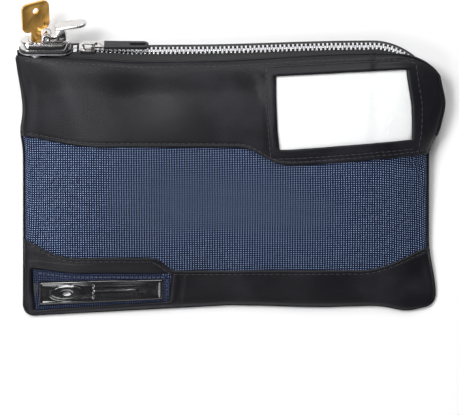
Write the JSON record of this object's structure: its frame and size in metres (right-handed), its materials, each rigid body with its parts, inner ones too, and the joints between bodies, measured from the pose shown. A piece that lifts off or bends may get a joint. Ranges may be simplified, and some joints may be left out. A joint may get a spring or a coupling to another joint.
{
  "type": "cash deposit bag",
  "caption": "Flat zipped cash bag of vinyl and woven nylon with a label window, a badge plate, and a keyed lock with a lever at the end of its zip.",
  "frame": {"origin": "centre of the flat back that the bag lies on", "axes": "+X along the zip towards its closed-off end, +Y from the bottom seam to the zip, +Z out of the front"},
  "size_m": [0.2696, 0.1975, 0.034],
  "materials": {
    "vinyl_black": "satin vinyl with a fine leather grain",
    "nylon_blue": "coarse woven nylon, navy with pale dots",
    "lining": "coated lining cloth",
    "tape_black": "woven zip tape",
    "zip_metal": "polished teeth and slider",
    "lock_chrome": "polished chrome plate",
    "steel": "plain steel inside the lock",
    "key_brass": "satin gold-coloured brass",
    "rubber_black": "satin moulded rubber",
    "clear_film": "clear flexible film",
    "card_white": "smooth white card",
    "badge_gloss": "glossy embossed plastic"
  },
  "bodies": {
    "bag": {"front_upper_panel": "vinyl_black", "front_middle_panel": "nylon_blue", "front_lower_panel": "vinyl_black", "back_upper_panel": "vinyl_black", "back_middle_panel": "nylon_blue", "back_lower_panel": "vinyl_black", "front_lining": "lining", "back_lining": "lining", "seam_welt": "tape_black", "window_film": "clear_film", "address_card": "card_white", "card_pocket": "lining", "badge_ground": "nylon_blue", "badge_plate": "badge_gloss", "zip_tape_front": "tape_black", "zip_tape_back": "tape_black", "zip_teeth_front": "zip_metal", "zip_teeth_back": "zip_metal", "zip_top_stops": "zip_metal", "zip_end_stop": "zip_metal", "zip_end_tab": "tape_black", "lock_gasket": "rubber_black", "lock_base_plate": "steel", "lock_housing": "lock_chrome", "lock_cover": "lock_chrome", "lock_barrel": "steel", "lock_backing_plate": "steel", "lock_rivets": "steel", "lever_pin": "steel", "lever_spring": "steel"},
    "slider": {"slider_body": "zip_metal", "slider_bail": "zip_metal"},
    "pull": {"pull_tab": "zip_metal", "pull_sleeve": "rubber_black"},
    "plug": {"lock_plug": "lock_chrome", "plug_wafers": "key_brass", "plug_cam": "steel"},
    "key": {"key": "key_brass"},
    "lever": {"lever_arm": "lock_chrome", "lever_paddle": "lock_chrome", "lever_catch": "steel"},
    "latch": {"latch_bolt": "steel"}
  },
  "joints": [
    {"name": "slider_travel", "type": "slide", "parent": "bag", "child": "slider", "axis": [1, 0.0087, 0], "range_m": [0, 0.17], "deforming": ["zip_teeth_front", "zip_teeth_back"]},
    {"name": "pull_swing", "type": "hinge", "parent": "slider", "child": "pull", "pos_m": [-0.08682, 0.08677, 0.01483], "axis": [0.0062, -0.7071, 0.7071], "range_deg": [0, 75]},
    {"name": "key_turn", "type": "hinge", "parent": "bag", "child": "plug", "pos_m": [-0.1217, 0.086, 0.014], "axis": [0, 0.848, 0.5299], "range_deg": [-30, 60]},
    {"name": "key_draw", "type": "slide", "parent": "plug", "child": "key", "axis": [0, 0.848, 0.5299], "range_m": [0, 0.018]},
    {"name": "lever_close", "type": "hinge", "parent": "bag", "child": "lever", "pos_m": [-0.115, 0.0927, 0.01819], "axis": [0, 0.5299, -0.848], "range_deg": [0, 9], "stiffness_Nm_per_rad": 0.2, "springref_deg": -11.46},
    {"name": "latch_slide", "type": "slide", "parent": "bag", "child": "latch", "axis": [-1, 0, 0], "range_m": [-0.0011, 0.0021]}
  ],
  "couplings": [
    {"joint": "latch_slide", "follows": "key_turn", "m_per_rad": 0.0019099}
  ]
}
